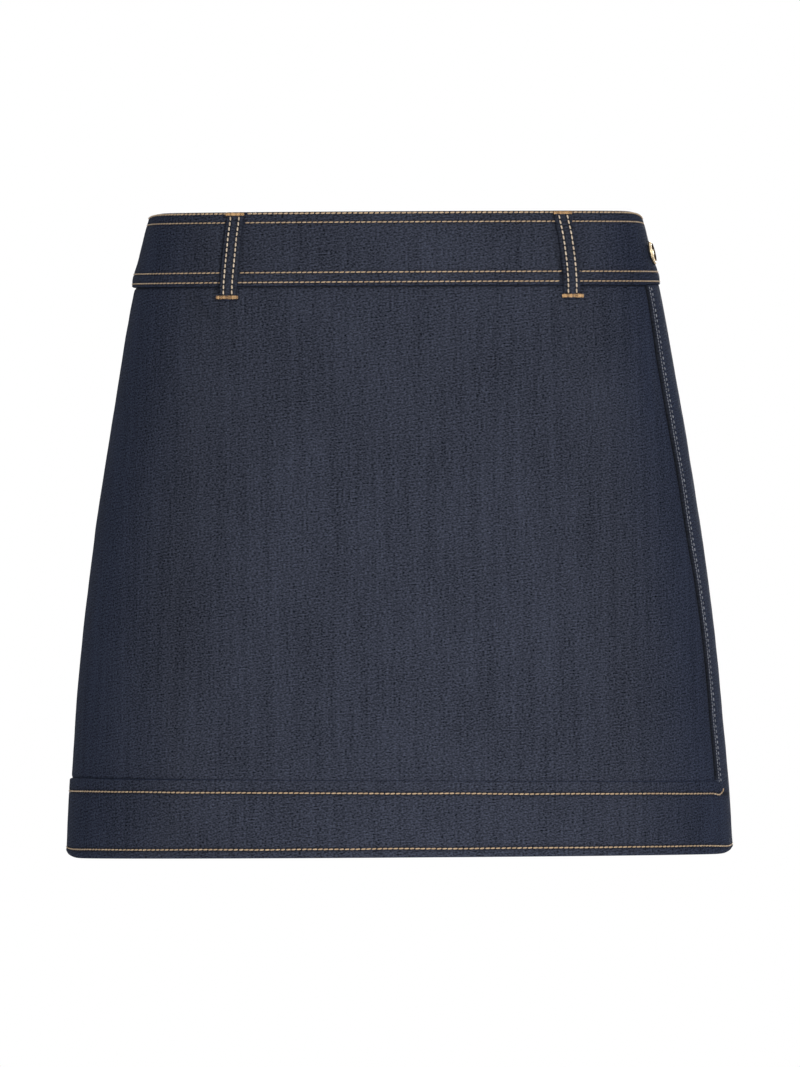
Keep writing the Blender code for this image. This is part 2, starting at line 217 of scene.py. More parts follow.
# Soft creases in the cloth, as lines from one place to another. The first is the sharpest, and
# one that is less than nothing deep is a soft ridge.
Crease = namedtuple("Crease", "front x drop to_x to_drop wide deep")
CREASES = (
    Crease(True, -0.124, 0.045, -0.107, 0.066, 0.0036, 0.0018),
    Crease(True, -0.150, 0.053, -0.098, 0.051, 0.0050, 0.0005),
    Crease(True, -0.143, 0.318, -0.072, 0.270, 0.0090, 0.0009),
    Crease(True, -0.128, 0.290, -0.134, 0.384, 0.0240, -0.0022),
    Crease(True, 0.149, 0.066, 0.155, 0.132, 0.0070, 0.0010),
    Crease(True, 0.012, 0.140, 0.017, 0.185, 0.0100, 0.0005),
    Crease(True, 0.112, 0.060, 0.090, 0.092, 0.0070, 0.0004),
    Crease(True, -0.020, 0.205, 0.070, 0.228, 0.0160, 0.0006),
    Crease(False, -0.112, 0.052, -0.078, 0.080, 0.0070, 0.0009),
    Crease(False, 0.116, 0.054, 0.086, 0.074, 0.0060, 0.0008),
    Crease(False, -0.070, 0.215, 0.020, 0.235, 0.0140, 0.0012),
    Crease(False, 0.030, 0.232, 0.095, 0.212, 0.0120, 0.0010),
    Crease(False, -0.150, 0.300, -0.090, 0.262, 0.0090, 0.0008),
)


# --- The skirt's form ---


def blend(start, end, share):
    return start + (end - start) * share


def ease(value, start, end):
    """0 before start, 1 after end, and a smooth turn between them."""
    share = np.clip((value - start) / (end - start), 0.0, 1.0)
    return share * share * (3 - 2 * share)


def near(distance, wide):
    """1 at no distance, falling softly to 0 past a width."""
    return np.exp(-((distance / wide) ** 2))


def most(*values):
    """The greatest of several values at each place."""
    return reduce(np.maximum, values)


def section(drop):
    """The skirt's section at a drop, on smooth curves through the rows of SECTIONS."""
    drops = [row.drop for row in SECTIONS]
    after = min(max(int(np.searchsorted(drops, drop)), 1), len(drops) - 1)
    span = drops[after] - drops[after - 1]
    share = (drop - drops[after - 1]) / span
    sizes = []
    for column in zip(*SECTIONS):
        slopes = np.gradient(column, drops)
        sizes.append(
            (2 * share**3 - 3 * share**2 + 1) * column[after - 1]
            + (share**3 - 2 * share**2 + share) * span * slopes[after - 1]
            + (3 * share**2 - 2 * share**3) * column[after]
            + (share**3 - share**2) * span * slopes[after]
        )
    return Section(*sizes)


class Ring:
    """The skirt's outer face at one drop, as a closed curve that is measured along its length."""

    def __init__(self, drop):
        self.cut = section(drop)
        turn = np.linspace(-math.pi, math.pi, 2 * RING_SAMPLES + 1)
        power = 2 / self.cut.squareness
        depth = np.where(turn > 0, self.cut.front_depth, self.cut.back_depth)
        self.x = self.cut.half_width * np.sign(np.cos(turn)) * np.abs(np.cos(turn)) ** power
        self.y = -depth * np.sign(np.sin(turn)) * np.abs(np.sin(turn)) ** power
        lengths = np.hypot(np.diff(self.x), np.diff(self.y))
        self.along = np.concatenate(([0.0], np.cumsum(lengths)))
        self.along -= self.along[RING_SAMPLES]
        self.front = float(self.along[-1])
        self.back = float(-self.along[0])

    def read(self, along):
        """The points at along, and the directions straight out of the ring there."""
        x = np.interp(along, self.along, self.x)
        y = np.interp(along, self.along, self.y)
        depth = np.where(y < 0, self.cut.front_depth, self.cut.back_depth)
        power = self.cut.squareness - 1
        facing = np.stack([
            np.sign(x) * np.abs(x / self.cut.half_width) ** power / self.cut.half_width,
            np.sign(y) * np.abs(y / depth) ** power / depth,
        ], axis=-1)
        facing /= np.linalg.norm(facing, axis=-1, keepdims=True)
        return np.stack([x, y], axis=-1), facing

    def along_at(self, x, front):
        """Where the front or the back crosses a distance from the middle."""
        if front:
            return float(np.interp(-x, -self.x[RING_SAMPLES:], self.along[RING_SAMPLES:]))
        return float(np.interp(x, self.x[:RING_SAMPLES + 1], self.along[:RING_SAMPLES + 1]))


@lru_cache(maxsize=None)
def kept_ring(drop):
    return Ring(drop)


def ring_at(drop):
    """The ring at a drop, which is worked out only once."""
    return kept_ring(round(float(drop), 6))


def levels(along, drop):
    """along and drop as arrays of one shape, and each drop's ring with the places on it."""
    along, drop = np.broadcast_arrays(np.asarray(along, float), np.asarray(drop, float))
    drop = np.round(drop, 6)
    return along, drop, [(ring_at(level), drop == level) for level in np.unique(drop)]


def half_girths(along, drop):
    """along as an array, and how long the front and the back are at each of its places."""
    along, drop, rings = levels(along, drop)
    front, back = np.zeros((2, *along.shape))
    for ring, here in rings:
        front[here] = ring.front
        back[here] = ring.back
    return along, front, back


def to_side_seam(along, drop):
    """How far a place is from the seam at the wearer's right side."""
    along, front, back = half_girths(along, drop)
    return np.maximum(np.where(along > 0, front - along, back + along), 0.0)


def side_share(along, drop):
    """1 at the two sides, falling to 0 away from them."""
    along, front, back = half_girths(along, drop)
    from_side = np.minimum(np.abs(along), np.minimum(front - along, back + along))
    return np.exp(-((from_side / EDGE_SPREAD) ** 2) / 2)


def girth_share(along, drop):
    """0 at the wearer's left side and 1 at the right side, on the front and on the back."""
    along, front, back = half_girths(along, drop)
    return np.abs(along) / np.where(along > 0, front, back)


def from_middle(along, drop, on_front):
    """How far round a place is from the middle of the front, or of the back."""
    along, front, back = half_girths(along, drop)
    return along - np.where(on_front, front / 2, -back / 2)


def edge_shift(along, drop):
    """How far up the waist edge and the hem edge move near the two sides."""
    near_top = np.maximum(0.0, 1 - drop / TOP_REACH) * np.where(np.abs(along) < 0.1, 1.0, 0.75)
    near_hem = np.maximum(0.0, 1 - (LENGTH - drop) / HEM_REACH)
    return side_share(along, drop) * (HEM_LIFT * near_hem**2 - TOP_DIP * near_top**2)


def hem_shift(x, drop):
    """How far up the hem band's seam and the hem edge lie off level, as stitched."""
    across = x / SECTIONS[-1].half_width
    at_hem = ease(drop, HEM_SEAM, LENGTH)
    at_seam = ease(drop, 0.25, HEM_SEAM) - at_hem
    seam = (HEM_SEAM_RISE + HEM_SEAM_SLOPE * across) * at_seam
    return seam + (HEM_RISE + HEM_SLOPE * across) * at_hem


def form(along, drop):
    """Points on the panels' outer face, and the level directions straight out of it."""
    along, drop, rings = levels(along, drop)
    points, facing = np.zeros((2, *along.shape, 3))
    for ring, here in rings:
        points[here, :2], facing[here, :2] = ring.read(along[here])
    points[..., 2] = TOP_Z - drop + edge_shift(along, drop) + hem_shift(points[..., 0], drop)
    return points, facing


def on_face(along, drop, out):
    """Points at out from the form, and the directions straight out."""
    points, facing = form(along, drop)
    return points + facing * np.asarray(out)[..., None], facing


def tuck(along, drop):
    """How far the back, and the shorts with it, go in under the front's lap."""
    deep = blend(TUCK_AT_WAIST, TUCK_AT_HEM, drop / LENGTH)
    return deep * (ease(along, TUCK_START, TUCK_FULL) - ease(along, TUCK_OVER, TUCK_END))


def lap_at(along, drop):
    """A place across the lap as stitched: its seam swings a little on its way down."""
    swing = LAP_SWING * ease(drop, 0.045, 0.092) * (1 - ease(drop, 0.180, 0.245)) + LAP_SHIFT
    return along + swing * (along - LAP_EDGE) / (LAP_SEAM - LAP_EDGE)


# --- How the cloth lies on the form ---


def uneven(along, drop, size, seed):
    """Soft unevenness from -1 to 1 with features of about a size."""
    along, drop = np.broadcast_arrays(along, drop)
    values = [
        noise.noise(Vector((place / size, level / size, seed)))
        for place, level in zip(along.ravel(), drop.ravel())
    ]
    return np.reshape(values, along.shape)


def crease(line, along, drop):
    """How deep one crease is at each place."""
    start = ring_at(line.drop).along_at(line.x, line.front)
    end = ring_at(line.to_drop).along_at(line.to_x, line.front)
    run = np.array([end - start, line.to_drop - line.drop])
    length = np.linalg.norm(run)
    run /= length
    by = (along - start) * run[0] + (drop - line.drop) * run[1]
    off = (along - start) * run[1] - (drop - line.drop) * run[0]
    lengthwise = np.exp(-np.maximum(0.0, np.abs(by - length / 2) / (length / 2) - 0.35) ** 2 * 4)
    return line.deep * lengthwise * near(off, line.wide)


def lie(along, drop):
    """How far the cloth stands off the form: its creases and its soft unevenness."""
    along, drop = np.broadcast_arrays(along, drop)
    loose = ease(drop, 0.030, 0.090)
    out = WAVE_DEEP * loose * uneven(along, drop, WAVE_SIZE, 1.0)
    out = out + RIPPLE_DEEP * uneven(along, drop, RIPPLE_SIZE, 2.0)
    for line in CREASES:
        out = out - crease(line, along, drop) * loose**0.25
    flare = 0.0015 * near(along, 0.045) + 0.0008 * near(to_side_seam(along, drop), 0.045)
    return out + flare * ease(drop, 0.300, 0.360)


def groove(distance):
    """How far a row of stitches draws the cloth in."""
    return GROOVE_DEEP * near(distance, GROOVE_WIDE)


def side_seam_dip(along, drop):
    """How far the seam at the wearer's right side draws the cloth in."""
    return SIDE_SEAM_DEEP * near(to_side_seam(along, drop), SIDE_SEAM_WIDE)


def rolled(distance, radius):
    """How far a face turns in at a distance from a rolled edge."""
    inside = np.clip(1 - distance / radius, 0.0, 1.0)
    return radius * (1 - np.sqrt(1 - inside**2))


def seam_stands(along, drop):
    """How clearly the hem band stands off the panel, all round: 1 is most."""
    share = girth_share(along, drop)
    return 0.18 + 0.82 * ease(share, 0.60, 0.86) + 0.25 * (1 - ease(share, 0.10, 0.30))


def panel_out(along, drop, front):
    """out of a panel's outer face, drawn in where it's sewn to the pieces round it."""
    stands = seam_stands(along, drop)
    dips = [
        0.0008 * near(drop - WAISTBAND_HEIGHT, 0.0012),
        0.0006 * stands * near(HEM_SEAM - drop, 0.0006 + 0.0006 * stands),
        side_seam_dip(along, drop),
    ]
    if front:
        dips.append(0.0012 * near(along - lap_at(LAP_SEAM, drop), 0.0018))
    return lie(along, drop) - most(*dips)


def hem_row(number, along):
    """The drop of a row of hem stitching, which wanders a little on its way round."""
    level = HEM_ROWS[number] + 0.0003 * uneven(along, float(number), 0.040, 5.0)
    return level + (0.0005, 0.0012)[number] * near(along, 0.032)


def hem_rows_groove(along, drop):
    """The two rows' draw on the cloth: the upper one starts at the hook on the border."""
    no_row = (along > LAP_EDGE) & (along < HOOK_ALONG + 0.001)
    upper = groove(drop - hem_row(0, along)) * np.where(no_row, 0.0, 1.0)
    return upper + groove(drop - hem_row(1, along))


def hem_band_lift(along, drop):
    """How far the hem band's outer face stands off the panels'."""
    return BAND_OUT * np.minimum(seam_stands(along, drop), 1.0)


def hem_band_edge(inside, along, drop):
    """How far the hem band turns in towards its seam, at a distance inside it."""
    return rolled(inside, HEM_SEAM_ROLL) * (0.35 + 0.65 * seam_stands(along, drop))


def faces_at_seam(middle, drawn, thick, turn, at_seam):
    """Both faces of a band: an open edge is rolled, a stitched one closes down on its panel."""
    outer = middle - drawn - np.maximum(turn, at_seam)
    return outer, middle - thick + turn - 0.0006 * (at_seam > 0)


def border_edge(along, drop):
    """How far a place on the front's L-shaped border is from its inner edge."""
    across = lap_at(LAP_SEAM, drop) - along
    down = drop - HEM_SEAM
    corner = np.hypot(np.maximum(across, 0.0), np.maximum(down, 0.0))
    return np.where(across <= 0, down, np.where(down <= 0, across, corner))


def border_faces(along, drop):
    """out of the outer and the inner face of the front's border."""
    upright = ease(lap_at(LAP_SEAM + 0.012, drop) - along, 0.0, 0.012)
    middle = lie(along, drop) + blend(hem_band_lift(along, drop), BAND_OUT, upright)
    in_hem = ease(drop, HEM_SEAM - 0.004, HEM_SEAM + 0.004)
    tonal = sum(groove(along - lap_at(row, drop)) for row in BORDER_ROWS)
    drawn = hem_rows_groove(along, drop) * in_hem + 0.5 * tonal * (1 - in_hem)
    drawn = drawn + side_seam_dip(along, drop)
    turn = most(rolled(LENGTH - drop, BAND_ROLL), rolled(along - LAP_EDGE, BAND_ROLL))
    inside = border_edge(along, drop)
    upright_edge = 0.45 * rolled(inside, BORDER_ROLL)
    edge = blend(hem_band_edge(inside, along, drop), upright_edge, upright)
    return faces_at_seam(middle, drawn, BAND_THICK, turn, edge)


def back_hem_faces(along, drop):
    """out of the outer and the inner face of the back's hem band."""
    middle = lie(along, drop) + hem_band_lift(along, drop) - tuck(along, drop)
    drawn = hem_rows_groove(along, drop) + side_seam_dip(along, drop)
    edge = hem_band_edge(drop - HEM_SEAM, along, drop)
    return faces_at_seam(middle, drawn, BAND_THICK, rolled(LENGTH - drop, BAND_ROLL), edge)


def shank_spread(along):
    """How far the button's shank pushes each edge of its hole up or down."""
    clear = SHANK_RADIUS + SHANK_CLEAR - BUTTONHOLE_HALF_HEIGHT
    return clear * near(along - BUTTON_ALONG, 0.0026)


def waistband_faces(along, drop, tucked):
    """out of the waistband's two faces, on the lap and round it or tucked under it."""
    middle = lie(along, drop) + WAISTBAND_OUT + 0.0006 * side_share(along, drop)
    at_right = near(to_side_seam(along, drop), 0.05)
    at_left = 0.0 if tucked else near(along, 0.05)
    middle = middle + 0.0010 * near(drop - 0.0375, 0.0060) * np.maximum(at_right, at_left)
    middle = middle - 0.0006 * near(drop - 0.0200, 0.0110) * at_left
    drawn = sum(groove(drop - row) for row in WAISTBAND_ROWS[1:])
    turn = rolled(drop, WAISTBAND_ROLL)
    if tucked:
        middle = middle - tuck(along, drop)
    else:
        turn = np.maximum(turn, rolled(along - LAP_EDGE, WAISTBAND_ROLL))
    at_seam = rolled(WAISTBAND_HEIGHT - drop, WAIST_SEAM_ROLL)
    return faces_at_seam(middle, drawn, WAISTBAND_THICK, turn, at_seam)


def loop_middle(loop, drop):
    """The along of a belt loop's centre line, which bows a little to one side."""
    drop = np.atleast_1d(np.round(drop, 6))
    x = blend(loop.x_top, loop.x_end, drop / LOOP_LENGTH)
    x = x + loop.bow * np.sin(math.pi * drop / LOOP_LENGTH)
    return np.array([
        ring_at(level).along_at(across, loop.front) for level, across in zip(drop, x)
    ])


def loop_faces(across, along, drop):
    """out of a belt loop's two faces, across its middle line by a distance."""
    table = list(zip(*LOOP_ROWS))
    # A mean over a few places turns the table's corners into soft bends
    taps = (-0.0024, -0.0012, 0.0, 0.0012, 0.0024)
    inner = sum(np.interp(drop + tap, *table) for tap in taps) / len(taps) + lie(along, drop)
    turn = most(
        rolled(LOOP_WIDTH / 2 - np.abs(across), LOOP_ROLL),
        rolled(LOOP_LENGTH - drop, LOOP_ROLL),
        rolled(drop, LOOP_ROLL),
    )
    drawn = groove(np.abs(across) - LOOP_ROW_APART / 2)
    return inner + LOOP_THICK - turn - drawn, inner + turn


# --- Walls of cloth ---


def graded(start, end, step, fine=(), fine_step=0.0005, reach=0.0020):
    """Values from start to end, a step apart, and closer together near the fine places."""
    count = max(1, round((end - start) / step))
    values = list(np.linspace(start, end, count + 1))
    for place in fine:
        values += list(np.arange(place - reach, place + reach + fine_step / 2, fine_step))
    kept = [start]
    for value in sorted(v for v in values if start < v < end):
        if value - kept[-1] > fine_step * 0.45 and end - value > fine_step * 0.45:
            kept.append(value)
    return np.array(kept + [end])


def with_places(values, places, crowding=0.0004):
    """Values with some places put in, and without the values that crowd them."""
    crowded = np.min(np.abs(values[:, None] - places), axis=1) <= crowding
    return np.array(sorted({*values[~crowded], *places}))


def add_object(name, mesh, *materials):
    data = bpy.data.meshes.new(name)
    mesh.to_mesh(data)
    mesh.free()
    for material in materials:
        data.materials.append(material)
    data.shade_smooth()
    piece = bpy.data.objects.new(name, data)
    bpy.context.scene.collection.objects.link(piece)
    return piece


def wall(name, base, facing, faces_out, places, material, painted_shade=None, leave_out=None):
    """A closed wall of cloth: an outer and an inner face, set off a base along facing.

    Every array has a row for each level of the cloth and a column for each place across it.
    places are the pattern's coordinates, and the shade mask is how deep painted shade lies there,
    from 0 to 1.
    """
    rows, columns = base.shape[:2]
    mesh = bmesh.new()
    bmesh.ops.create_grid(mesh, x_segments=columns - 1, y_segments=rows - 1, size=0.5)
    cloth = mesh.verts.layers.float_vector.new("cloth")
    # A layer for how deep painted shade lies: in seams, beside stitch rows and beside belt loops
    seam = mesh.verts.layers.float.new("painted_shade")

    def spot_of(place):
        return (place.y + 0.5) * (rows - 1), (place.x + 0.5) * (columns - 1)

    if leave_out is not None:
        spare = []
        for face in mesh.faces:
            row, column = spot_of(face.calc_center_median())
            if leave_out(int(row), int(column)):
                spare.append(face)
        bmesh.ops.delete(mesh, geom=spare, context="FACES")
    grown = bmesh.ops.extrude_face_region(mesh, geom=list(mesh.faces))
    inner = {part for part in grown["geom"] if isinstance(part, bmesh.types.BMVert)}
    points = [base + facing * out[..., None] for out in faces_out]
    for corner in mesh.verts:
        row, column = (round(value) for value in spot_of(corner.co))
        side = 1 if corner in inner else 0
        corner.co = points[side][row, column]
        corner[cloth] = (*places[row, column], side)
        corner[seam] = 0.0 if painted_shade is None else painted_shade[row, column]
    bmesh.ops.recalc_face_normals(mesh, faces=mesh.faces)
    return add_object(name, mesh, material)


def grid(alongs_at, drops):
    """along and drop for every row and column of a piece."""
    alongs = np.array([alongs_at(drop) for drop in drops])
    return alongs, np.repeat(np.asarray(drops)[:, None], alongs.shape[1], axis=1)


def body_wall(name, along, drop, faces_out, material, front, painted_shade=None, leave_out=None, cut_at=0):
    """A wall on the skirt's form, its grain straight down the middle of the front or the back.

    cut_at is where on the roll of cloth it's cut, so that no two pieces have the same yarns.
    """
    base, facing = form(along, drop)
    places = np.stack([from_middle(along, drop, front) + cut_at, drop], axis=-1)
    return wall(name, base, facing, faces_out, places, material, painted_shade, leave_out)


def near_rows(distances):
    """How close a place is to rows of stitches at some distances from it: 1 is on one."""
    return np.clip(sum(near(distance, ROW_SHADE_WIDE) for distance in distances), 0.0, 1.0)


def seam_shade(drop):
    """How deep a panel lies in the shade of the waistband's and the hem band's edges."""
    return most(near(drop - WAISTBAND_HEIGHT, 0.0011), 0.08 * near(drop - HEM_SEAM, 0.0010))


def loop_shade(along, drops):
    """How deep a place lies in the shade of a belt loop's edges, one side's more than the other's."""
    shade = np.zeros(along.shape)
    for loop in LOOPS:
        across = along - loop_middle(loop, drops)[:, None]
        deep = np.where(across > 0, 0.9, 0.35)
        shade = most(shade, deep * near(np.abs(across) - LOOP_WIDTH / 2 - 0.0003, 0.0011))
    return shade


def shares_of(length, fine):
    """Places across a piece as shares of its length, closer together near the fine ones."""
    return graded(0.0, length, 0.0030, fine, fine_step=0.0006, reach=0.0030) / length


# How long the front and the back are across, only for how far apart their points are
FRONT_LENGTH = 0.430
BACK_LENGTH = 0.490
FRONT_SHARES = shares_of(FRONT_LENGTH, (0.0, FRONT_LENGTH))
BACK_SHARES = shares_of(BACK_LENGTH, (0.0,))


def front_span(drop, start):
    return blend(start, ring_at(drop).front - SEAM_GAP / 2, FRONT_SHARES)


def back_span(drop):
    return blend(-ring_at(drop).back + SEAM_GAP / 2, UNDERLAP_END, BACK_SHARES)


def add_panels(denim):
    drops = graded(
        WAISTBAND_HEIGHT + SEAM_GAP, HEM_SEAM - SEAM_GAP, 0.0034, (WAISTBAND_HEIGHT, HEM_SEAM),
    )
    along, drop = grid(lambda level: front_span(level, lap_at(LAP_SEAM, level) + SEAM_GAP), drops)
    out = panel_out(along, drop, front=True)
    from_seam = along - lap_at(LAP_SEAM, drop)
    sharpest = CREASES[0]
    # Painted shade in the seam, and a little beside it and in the sharpest crease
    shade = most(
        seam_shade(drop), near(from_seam, 0.0016), 0.28 * near(from_seam, 0.0055),
        0.30 * crease(sharpest, along, drop) / sharpest.deep,
    )
    front = body_wall(
        "front_cloth", along, drop, (out, out - PANEL_THICK), denim, True, shade,
    )
    along, drop = grid(back_span, drops)
    out = panel_out(along, drop, front=False) - tuck(along, drop)
    back = body_wall(
        "back_cloth", along, drop, (out, out - PANEL_THICK), denim, False, seam_shade(drop),
        cut_at=0.7,
    )
    return front, back


def add_borders(denim):
    band_drops = graded(HEM_SEAM, LENGTH, 0.0030, (HEM_SEAM, LENGTH, *HEM_ROWS))
    upright_drops = graded(WAISTBAND_HEIGHT + SEAM_GAP, HEM_SEAM, 0.0034, (WAISTBAND_HEIGHT,))
    drops = np.concatenate([upright_drops[:-1], band_drops])
    upright = graded(LAP_EDGE, LAP_SEAM, 0.0024, (LAP_EDGE, LAP_SEAM, *BORDER_ROWS))
    upright_columns = len(upright) - 1
    upright_rows = len(upright_drops) - 1

    def alongs_at(level):
        front = front_span(level, lap_at(LAP_SEAM, level))
        return np.concatenate([lap_at(upright[:-1], level), front])

    def beside_upright(row, column):
        return column >= upright_columns and row < upright_rows

    def by_hem_rows(along, drop):
        return near_rows([drop - hem_row(number, along) for number in range(2)])

    along, drop = grid(alongs_at, drops)
    # Painted shade beside the hem rows and the border's rows, and on the border's edge at its seam
    by_border_rows = near_rows([along - lap_at(row, drop) for row in BORDER_ROWS])
    edge = near(along - lap_at(LAP_SEAM, drop), 0.0012)
    painted_shade = most(by_hem_rows(along, drop), most(0.3 * by_border_rows, edge) * (drop < HEM_SEAM))
    front = body_wall(
        "border_cloth", along, drop, border_faces(along, drop), denim, True, painted_shade,
        beside_upright, cut_at=1.3,
    )
    # The back's hem band gets the same painted shade beside its rows
    along, drop = grid(back_span, band_drops)
    back = body_wall(
        "back_hem_cloth", along, drop, back_hem_faces(along, drop), denim, False,
        by_hem_rows(along, drop), cut_at=2.1,
    )
    return front, back


def add_waistband(denim):
    """One strip from the lap round to the back end under it, with the buttonhole cut out."""
    hole = (BUTTONHOLE_START, BUTTONHOLE_END)
    slit = (BUTTON_DROP - BUTTONHOLE_HALF_HEIGHT, BUTTON_DROP + BUTTONHOLE_HALF_HEIGHT)
    drops = graded(0.0, WAISTBAND_HEIGHT, 0.0030, (0.0, WAISTBAND_HEIGHT, *WAISTBAND_ROWS))
    drops = with_places(drops, slit)
    lap = with_places(graded(LAP_EDGE, LAP_SEAM, 0.0024, (LAP_EDGE,)), hole)
    turn = len(lap) + len(FRONT_SHARES) - 1

    def alongs_at(level):
        front = blend(LAP_SEAM, ring_at(level).front, FRONT_SHARES)
        back = blend(-ring_at(level).back, UNDERLAP_END, BACK_SHARES)
        return np.concatenate([lap[:-1], front, back[1:]])

    along, drop = grid(alongs_at, drops)
    tucked = np.arange(along.shape[1]) >= turn

    def in_hole(row, column):
        middle = (along[row, column] + along[row, column + 1]) / 2
        level = (drops[row] + drops[row + 1]) / 2
        return column < len(lap) - 1 and hole[0] < middle < hole[1] and slit[0] < level < slit[1]

    from_button = drop - BUTTON_DROP
    reach = 1 - ease(np.abs(from_button), BUTTONHOLE_HALF_HEIGHT, 0.0065)
    drop = drop + np.sign(from_button) * shank_spread(along) * reach * ~tucked
    over = waistband_faces(along, drop, tucked=False)
    under = waistband_faces(along, drop, tucked=True)
    faces_out = [np.where(tucked, *pair) for pair in zip(under, over)]
    # Painted shade beside the stitch rows and beside the belt loops' edges
    painted_shade = most(
        0.5 * near_rows([drop - row for row in WAISTBAND_ROWS]), loop_shade(along, drops),
    )
    return body_wall(
        "waistband_cloth", along, drop, faces_out, denim, ~tucked, painted_shade, in_hole, cut_at=3.2,
    )


def add_belt_loops(denim):
    half = LOOP_WIDTH / 2
    drops = graded(0.0, LOOP_LENGTH, 0.0020, (0.0, LOOP_LENGTH), fine_step=0.0003, reach=0.0010)
    across = graded(-half, half, 0.0010, (-half, half), fine_step=0.0003, reach=0.0010)
    from_middle_line = np.abs(across)
    # Painted shade beside the loop's two stitch rows and along its edges
    shade = most(
        0.9 * near_rows([from_middle_line - LOOP_ROW_APART / 2]),
        0.6 * near(from_middle_line - half, 0.0009),
    )
    pieces = []
    for number, loop in enumerate(LOOPS):
        along = loop_middle(loop, drops)[:, None] + across
        drop = np.repeat(drops[:, None], len(across), axis=1)
        pieces.append(body_wall(
            f"belt_loop_{loop.name}_cloth", along, drop, loop_faces(across, along, drop), denim,
            loop.front, np.broadcast_to(shade, along.shape), cut_at=4.0 + 0.3 * number,
        ))
    return pieces


def shorts_row(drop, shares, front, lapped):
    """Points on a left leg's outer face, from its side seam (0) to its inner seam (1)."""
    ring = ring_at(drop)
    inside = float(np.interp(drop, *zip(*SHORTS_ROWS)))
    forward = 1 if front else -1
    below = max(0.0, (drop - SHORTS_CROTCH) / (SHORTS_LENGTH - SHORTS_CROTCH))
    inner_x = SEAM_GAP + LEG_APART_AT_HEM * below
    turn = np.maximum(0.0, shares - TURN_SHARE) / (1 - TURN_SHARE) * math.pi / 2
    x_on_ring = blend(LEG_MIDDLE, inner_x, np.sin(turn))
    along = np.array([ring.along_at(x, front) for x in x_on_ring])
    across = shares < TURN_SHARE
    along[across] = blend(forward * SEAM_GAP / 2, along[across], shares[across] / TURN_SHARE)
    skirt_along = along if lapped else forward * (ring.front if front else ring.back) - along
    out = lie(skirt_along, drop) - inside
    if lapped:
        out = out - tuck(along, drop)
    points, facing = ring.read(along)
    points = points + facing * out[:, None]
    x = np.where(across, points[:, 0], x_on_ring)
    fall = min(max((drop - CROTCH_START) / (SHORTS_CROTCH - CROTCH_START), 0.0), 1.0)
    inner_y = CROTCH_Y - forward * SEAM_GAP / 2
    y = blend(points[:, 1], blend(inner_y, points[:, 1], np.cos(turn)), fall**CROTCH_CURVE)
    return np.stack([x, y, np.full(len(shares), TOP_Z - drop)], axis=-1)


def add_shorts(cotton):
    """Four pieces that meet at the side seams, the centre seams and the legs' inner seams."""
    drops = graded(
        SHORTS_TOP, SHORTS_LENGTH, 0.0065, (SHORTS_LENGTH,), fine_step=0.0004, reach=0.0016,
    )
    shares = np.linspace(0, 1, 43)
    drop = np.repeat(drops[:, None], len(shares), axis=1)
    turn = rolled(SHORTS_LENGTH - drop, SHORTS_ROLL)
    places = np.stack([np.broadcast_to(shares * 0.25, drop.shape), drop], axis=-1)
    middle = np.array([LEG_MIDDLE, CROTCH_Y, 0.0])
    pieces = []
    for side, mirror in (("left", 1), ("right", -1)):
        for face, front in (("front", True), ("back", False)):
            base = np.array([shorts_row(level, shares, front, mirror > 0) for level in drops])
            facing = np.cross(np.gradient(base, axis=1), np.gradient(base, axis=0))
            facing /= np.linalg.norm(facing, axis=-1, keepdims=True)
            facing[np.sum(facing * (base - middle) * (1, 1, 0), axis=-1) < 0] *= -1
            base[..., 0] *= mirror
            facing[..., 0] *= mirror
            pieces.append(wall(
                f"shorts_{face}_{side}_cloth", base, facing, (-turn, turn - SHORTS_THICK), places,
                cotton,
            ))
    return pieces


# --- Thread ---


Stitch = namedtuple("Stitch", "middle lengthwise side facing run shade")


